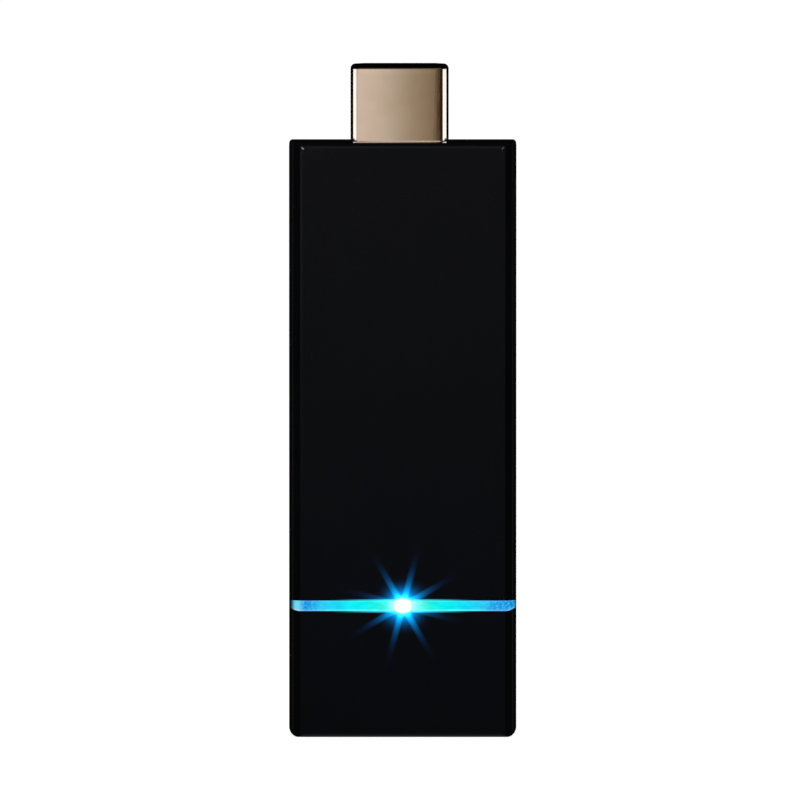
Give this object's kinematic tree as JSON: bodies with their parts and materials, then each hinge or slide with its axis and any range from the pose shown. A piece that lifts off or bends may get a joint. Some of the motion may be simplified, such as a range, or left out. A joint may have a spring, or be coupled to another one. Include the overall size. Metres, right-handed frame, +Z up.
{
  "type": "wireless display dongle",
  "caption": "Slim black upright stick with a gold-plated type A video plug on top, a lit bar across its front and a micro power inlet below; streams a phone's or PC's picture to a TV.",
  "frame": {"origin": "centre of the stick's bottom end, where it stands upright", "axes": "+Z up the stick to its plug; -Y is the glossy front with the lit bar, +Y the back cover; +X is the side with the reset button"},
  "size_m": [0.0322, 0.011, 0.0953],
  "materials": {
    "case_gloss": "glossy black moulded shell with very fine scuffs",
    "case_satin": "black shell with a fine moulded texture",
    "light_bar": "clear bar lit from its middle, white there, then cyan, then blue at its ends",
    "gold_plate": "pale champagne gold plating, finely brushed, with bright edges",
    "contact_gold": "gold-plated contact",
    "plug_plastic": "black glass-filled moulding",
    "inlet_steel": "nickel-plated steel",
    "inlet_plastic": "black moulding",
    "board": "dark green solder mask",
    "radio_board": "dark blue solder mask",
    "chip_black": "black moulded package",
    "crystal_can": "plated metal lid",
    "shield_metal": "tin-plated sheet",
    "thermal_pad": "soft grey-blue silicone pad",
    "spreader_metal": "brushed aluminium sheet",
    "foam": "black closed-cell foam",
    "antenna_metal": "nickel-plated phosphor bronze strip",
    "fuse_body": "green polymer fuse",
    "ferrite": "pressed powder inductor",
    "tantalum": "ochre moulded capacitor",
    "capacitor_body": "tan ceramic with tinned ends",
    "resistor_body": "black film with tinned ends",
    "led_body": "white lens over a blue-white diode",
    "screw_steel": "black zinc-plated steel",
    "button_plastic": "fine satin black moulding",
    "switch_plastic": "black moulding",
    "plunger_plastic": "white moulding",
    "switch_metal": "spring steel"
  },
  "bodies": {
    "main": {"antenna_diversity": "antenna_metal", "antenna_main": "antenna_metal", "antenna_test_sockets": "contact_gold", "back_cover": "case_satin", "board_screws": "screw_steel", "bulk_capacitors": "tantalum", "ceramic_capacitors": "capacitor_body", "chip_resistors": "resistor_body", "crystals": "crystal_can", "flash_chip": "chip_black", "foam_pad": "foam", "front_shell": "case_gloss", "heat_spreader": "spreader_metal", "inlet_contacts": "contact_gold", "inlet_insulator": "inlet_plastic", "inlet_shell": "inlet_steel", "input_fuse": "fuse_body", "light_gasket": "foam", "light_guide": "light_bar", "main_board": "board", "memory_chips": "chip_black", "plug_contacts_back_row": "contact_gold", "plug_contacts_front_row": "contact_gold", "plug_insulator": "plug_plastic", "plug_shell": "gold_plate", "power_chip": "chip_black", "power_inductors": "ferrite", "radio_board": "radio_board", "radio_can": "shield_metal", "radio_chip": "chip_black", "shield_fence": "shield_metal", "shield_lid": "shield_metal", "status_led": "led_body", "surge_arrays": "chip_black", "surge_diode": "chip_black", "switch_housing": "switch_plastic", "switch_plate": "switch_metal", "switch_spring": "switch_metal", "system_chip": "chip_black", "thermal_pad_chip": "thermal_pad", "thermal_pad_spreader": "thermal_pad"},
    "reset_button": {"reset_button": "button_plastic", "switch_plunger": "plunger_plastic"}
  },
  "joints": [
    {"name": "reset_button_slide", "type": "slide", "parent": "main", "child": "reset_button", "axis": [-1, 0, 0], "range_m": [0, 0.00025], "stiffness_N_per_m": 4000, "deforming": ["switch_spring"]}
  ]
}
